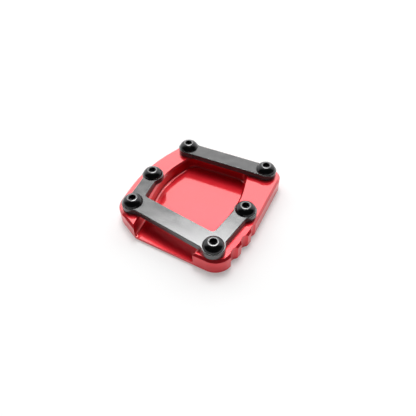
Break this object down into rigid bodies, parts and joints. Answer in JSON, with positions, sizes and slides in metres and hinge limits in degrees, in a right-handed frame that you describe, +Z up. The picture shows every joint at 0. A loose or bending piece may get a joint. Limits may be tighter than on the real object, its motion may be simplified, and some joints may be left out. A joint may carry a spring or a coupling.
{
  "type": "kickstand foot enlarger",
  "caption": "Milled side-stand foot enlarger: an open pocket in a red base holds the stand's foot, clamped by a U plate and a bar under button-head screws.",
  "frame": {"origin": "middle of the base's footprint box, on the ground face", "axes": "+X along the U plate's front leg towards the notched side, +Y from the open front towards the clamp bar, +Z up"},
  "size_m": [0.0666, 0.0715, 0.0137],
  "materials": {
    "anodised_base": "red satin anodised",
    "steel_plate": "satin grey steel with lightly broken edges",
    "black_screw": "black, slightly glossy"
  },
  "bodies": {
    "root": {"base": "anodised_base", "u_clamp_plate": "steel_plate", "clamp_bar": "steel_plate", "button_head_screws": "black_screw"}
  },
  "joints": []
}
